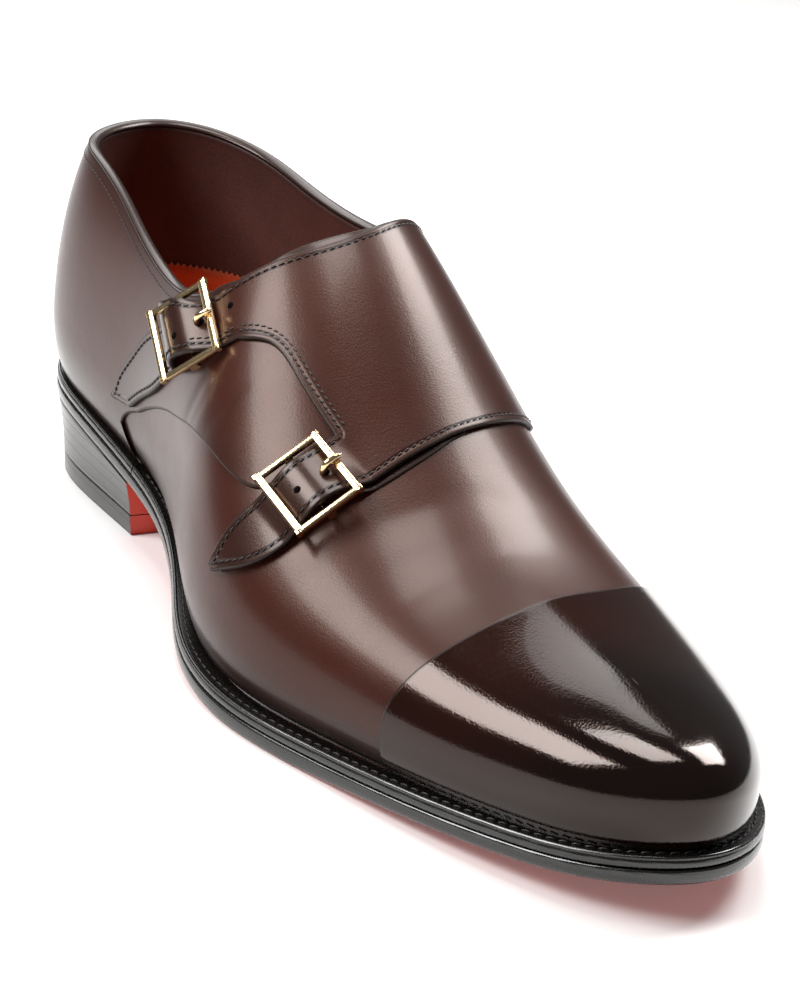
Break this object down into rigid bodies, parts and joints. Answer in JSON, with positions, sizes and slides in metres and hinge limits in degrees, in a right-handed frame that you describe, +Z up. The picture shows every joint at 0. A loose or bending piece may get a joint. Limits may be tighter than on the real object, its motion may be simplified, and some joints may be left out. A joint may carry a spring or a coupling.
{
  "type": "monk strap shoe",
  "caption": "Right leather dress shoe with a toe cap, closed over the instep by a flap whose straps run through metal buckles on the outer side.",
  "frame": {"origin": "on the floor, under the middle of the heel", "axes": "+Z up, toe towards -Y, outer side of the foot towards -X"},
  "size_m": [0.1071, 0.3038, 0.106],
  "materials": {
    "upper_leather": "polished calf, burnished",
    "cap_leather": "high gloss polish",
    "flap_leather": "polished calf, burnished",
    "tongue_leather": "polished calf",
    "tab_leather": "polished calf",
    "sock_leather": "matt lining leather",
    "welt_leather": "waxed edge",
    "rand_leather": "waxed edge",
    "sole_leather": "painted sole leather",
    "heel_leather": "waxed stacked leather",
    "top_piece": "satin",
    "buckle_metal_upper": "polished",
    "prong_metal_upper": "polished",
    "buckle_metal_lower": "polished",
    "prong_metal_lower": "polished"
  },
  "bodies": {
    "root": {"upper": "upper_leather", "toe_cap": "cap_leather", "monk_flap": "flap_leather", "tongue": "tongue_leather", "back_tab": "tab_leather", "insole": "sock_leather", "welt": "welt_leather", "heel_rand": "rand_leather", "outsole": "sole_leather", "heel_stack": "heel_leather", "heel_top_piece": "top_piece", "buckle_frame_upper": "buckle_metal_upper", "buckle_prong_upper": "prong_metal_upper", "buckle_frame_lower": "buckle_metal_lower", "buckle_prong_lower": "prong_metal_lower"}
  },
  "joints": []
}
